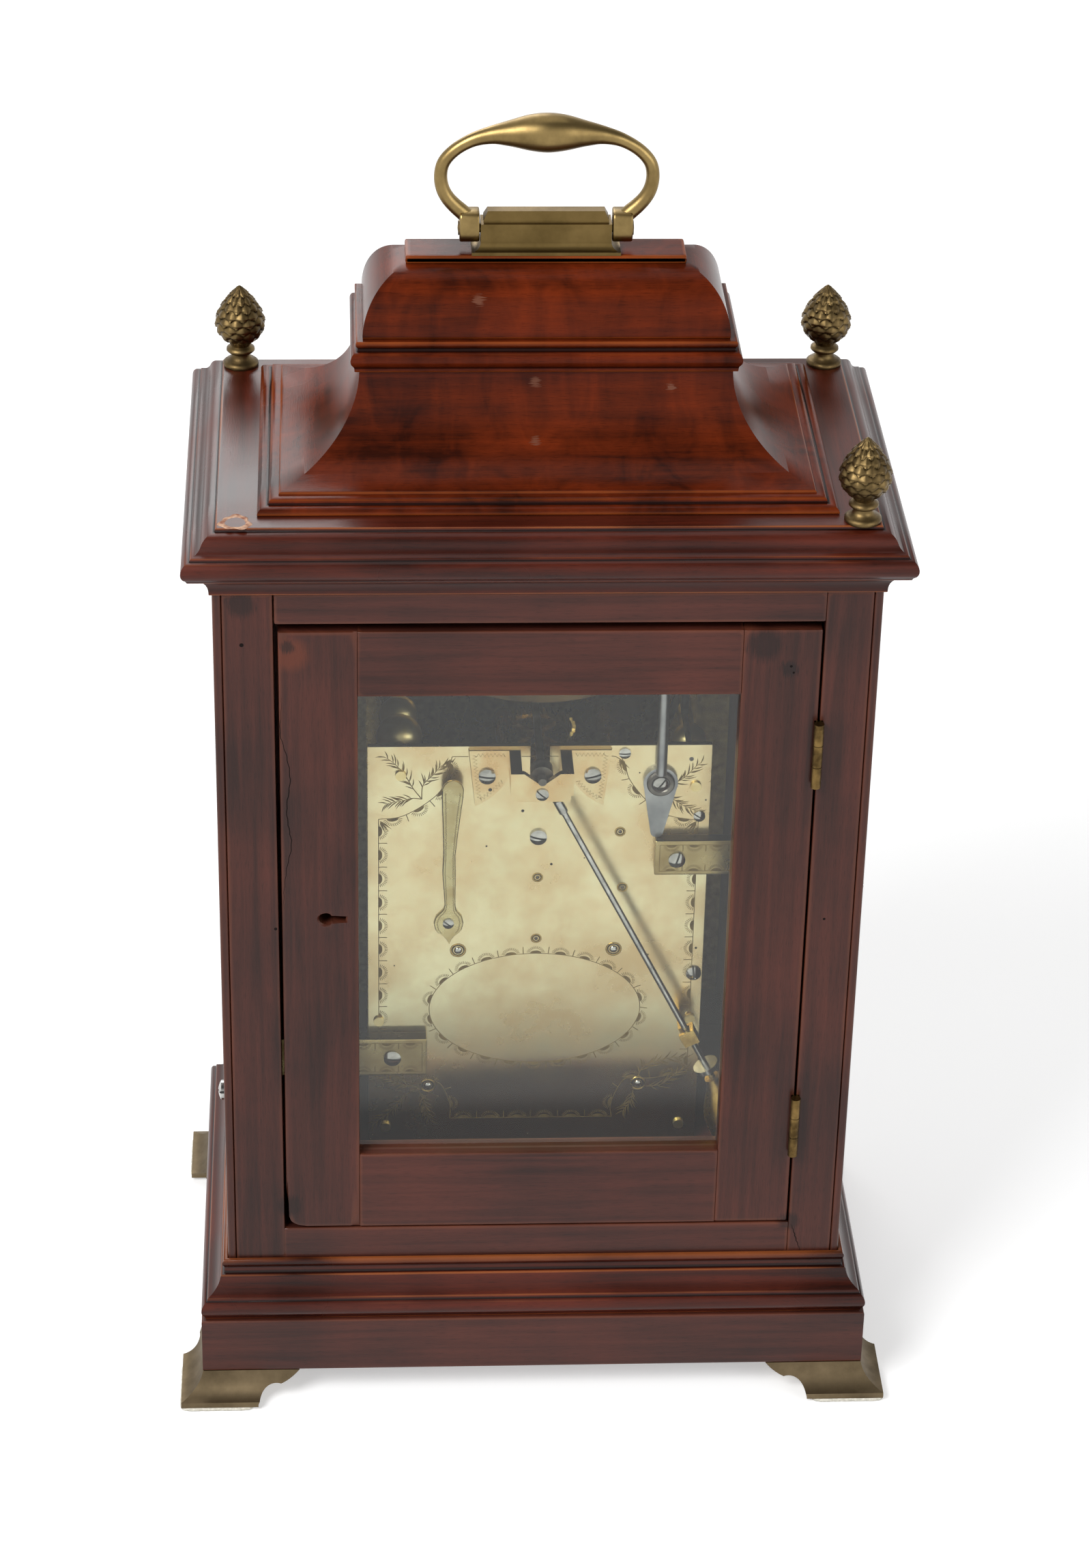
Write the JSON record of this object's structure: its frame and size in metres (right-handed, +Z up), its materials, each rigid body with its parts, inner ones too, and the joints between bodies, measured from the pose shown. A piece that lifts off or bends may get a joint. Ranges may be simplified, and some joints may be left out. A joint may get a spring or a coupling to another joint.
{
  "type": "bracket clock",
  "caption": "Bell-top mahogany bracket clock with brass carry handle, bracket feet, glazed doors and a fusee verge movement with parked bob pendulum.",
  "frame": {"origin": "centre of the footprint on the floor under the felt pads", "axes": "+Z up; the dial faces -Y; the glazed rear door faces +Y; +X to the right of a viewer facing the dial"},
  "size_m": [0.2752, 0.1812, 0.4999],
  "materials": {
    "mahogany": "old dark shellac polish, worn through on the edges",
    "aged_brass": "cast brass, dulled and brown in the hollows",
    "dark_brass": "drawn brass, darkened",
    "plate_brass": "engraved and once lacquered, toned brown",
    "darkened_steel": "bare steel, browned",
    "blued_steel": "heat-blued",
    "window_glass": "thin hand-made sheet",
    "felt": "grey felt pads",
    "dial_brass": "silvered and matted",
    "bell_metal": "cast and turned"
  },
  "bodies": {
    "case": {"plinth": "mahogany", "base_moulding": "mahogany", "case_sides": "mahogany", "back_stiles": "mahogany", "case_rails": "mahogany", "dial_mask": "mahogany", "seat_board": "mahogany", "cornice": "mahogany", "bell_base_moulding": "mahogany", "bell_cove": "mahogany", "waist_moulding": "mahogany", "dome": "mahogany", "cap_block": "mahogany", "bracket_feet": "aged_brass", "handle_pedestal": "aged_brass", "finials": "aged_brass", "case_hinges": "dark_brass", "back_plate": "plate_brass", "front_plate": "plate_brass", "plate_pillars": "plate_brass", "potence": "plate_brass", "back_cock": "plate_brass", "steady_brackets": "plate_brass", "backplate_spring": "plate_brass", "pendulum_holdfast": "plate_brass", "bell_stand": "darkened_steel", "movement_screws": "darkened_steel", "felt_pads": "felt", "dial": "dial_brass", "strike_bell": "bell_metal"},
    "handle": {"handle_bail": "aged_brass"},
    "rear_door": {"rear_door_stiles": "mahogany", "rear_door_rails": "mahogany", "rear_door_glass": "window_glass", "rear_door_leaves": "dark_brass", "rear_lock": "dark_brass"},
    "lock_bolt": {"rear_lock_bolt": "darkened_steel"},
    "front_door": {"front_door_frame": "mahogany", "front_door_glass": "window_glass", "front_sight_ring": "aged_brass", "front_door_leaves": "dark_brass"},
    "minute_arbor": {"centre_wheel": "plate_brass", "minute_hand": "blued_steel"},
    "hour_pipe": {"hour_wheel": "plate_brass", "hour_hand": "blued_steel"},
    "minute_wheel": {"minute_wheel": "plate_brass"},
    "going_fusee": {"going_fusee": "plate_brass"},
    "strike_fusee": {"strike_fusee": "plate_brass"},
    "going_barrel": {"going_barrel": "plate_brass"},
    "strike_barrel": {"strike_barrel": "plate_brass"},
    "contrate_wheel": {"contrate_wheel": "plate_brass"},
    "crown_wheel": {"crown_wheel": "plate_brass"},
    "pin_wheel": {"pin_wheel": "plate_brass"},
    "hoop_wheel": {"hoop_wheel": "plate_brass"},
    "warning_wheel": {"warning_wheel": "plate_brass"},
    "fly": {"fly": "plate_brass"},
    "hammer": {"hammer": "darkened_steel"},
    "pendulum": {"verge": "darkened_steel", "pendulum_rod": "darkened_steel", "pendulum_bob": "plate_brass"}
  },
  "joints": [
    {"name": "handle_swing", "type": "hinge", "parent": "case", "child": "handle", "pos_m": [0, 0, 0.4565], "axis": [1, 0, 0], "range_deg": [-112, 112]},
    {"name": "rear_door_swing", "type": "hinge", "parent": "case", "child": "rear_door", "pos_m": [-0.0976, 0.0731, 0.2], "axis": [0, 0, 1], "range_deg": [0, 165]},
    {"name": "lock_bolt_throw", "type": "slide", "parent": "rear_door", "child": "lock_bolt", "axis": [1, 0, 0], "range_m": [0, 0.009]},
    {"name": "front_door_swing", "type": "hinge", "parent": "case", "child": "front_door", "pos_m": [0.1056, -0.0731, 0.2], "axis": [0, 0, 1], "range_deg": [0, 165]},
    {"name": "pendulum_swing", "type": "hinge", "parent": "case", "child": "pendulum", "pos_m": [0, 0, 0.263], "axis": [0, 1, 0], "range_deg": [-46, 0]},
    {"name": "minute_turn", "type": "hinge", "parent": "case", "child": "minute_arbor", "pos_m": [0, 0, 0.1828], "axis": [0, 1, 0], "continuous": true},
    {"name": "hour_turn", "type": "hinge", "parent": "case", "child": "hour_pipe", "pos_m": [0, 0, 0.1828], "axis": [0, 1, 0], "continuous": true},
    {"name": "minute_wheel_turn", "type": "hinge", "parent": "case", "child": "minute_wheel", "pos_m": [0, 0, 0.1636], "axis": [0, 1, 0], "continuous": true},
    {"name": "going_fusee_turn", "type": "hinge", "parent": "case", "child": "going_fusee", "pos_m": [0.0295, 0, 0.1777], "axis": [0, 1, 0], "continuous": true},
    {"name": "going_barrel_turn", "type": "hinge", "parent": "case", "child": "going_barrel", "pos_m": [0.0407, 0, 0.1156], "axis": [0, 1, 0], "continuous": true},
    {"name": "contrate_turn", "type": "hinge", "parent": "case", "child": "contrate_wheel", "pos_m": [0, 0, 0.21], "axis": [0, 1, 0], "continuous": true},
    {"name": "crown_turn", "type": "hinge", "parent": "case", "child": "crown_wheel", "pos_m": [0, 0.003, 0.23], "axis": [0, 0, 1], "continuous": true},
    {"name": "hoop_turn", "type": "hinge", "parent": "case", "child": "hoop_wheel", "pos_m": [-0.0305, 0, 0.2298], "axis": [0, 1, 0], "continuous": true},
    {"name": "pin_wheel_turn", "type": "hinge", "parent": "case", "child": "pin_wheel", "pos_m": [-0.032, 0, 0.2053], "axis": [0, 1, 0], "continuous": true},
    {"name": "strike_fusee_turn", "type": "hinge", "parent": "case", "child": "strike_fusee", "pos_m": [-0.0295, 0, 0.1777], "axis": [0, 1, 0], "continuous": true},
    {"name": "strike_barrel_turn", "type": "hinge", "parent": "case", "child": "strike_barrel", "pos_m": [-0.0407, 0, 0.1156], "axis": [0, 1, 0], "continuous": true},
    {"name": "warning_turn", "type": "hinge", "parent": "case", "child": "warning_wheel", "pos_m": [-0.0475, 0, 0.226], "axis": [0, 1, 0], "continuous": true},
    {"name": "fly_turn", "type": "hinge", "parent": "case", "child": "fly", "pos_m": [-0.055, 0, 0.213], "axis": [0, 1, 0], "continuous": true},
    {"name": "hammer_lift", "type": "hinge", "parent": "case", "child": "hammer", "pos_m": [-0.056, 0, 0.261], "axis": [0, 1, 0], "range_deg": [-13, 0]}
  ],
  "couplings": [
    {"joint": "hour_turn", "follows": "minute_turn", "ratio": 0.083333},
    {"joint": "minute_wheel_turn", "follows": "minute_turn", "ratio": -0.33333},
    {"joint": "going_fusee_turn", "follows": "minute_turn", "ratio": -0.083333},
    {"joint": "going_barrel_turn", "follows": "minute_turn", "ratio": -0.067073},
    {"joint": "contrate_turn", "follows": "minute_turn", "ratio": -12},
    {"joint": "crown_turn", "follows": "minute_turn", "ratio": -132},
    {"joint": "pin_wheel_turn", "follows": "hoop_turn", "ratio": -0.125},
    {"joint": "strike_fusee_turn", "follows": "hoop_turn", "ratio": 0.013158},
    {"joint": "strike_barrel_turn", "follows": "hoop_turn", "ratio": 0.009371},
    {"joint": "warning_turn", "follows": "hoop_turn", "ratio": -8},
    {"joint": "fly_turn", "follows": "hoop_turn", "ratio": 56}
  ]
}
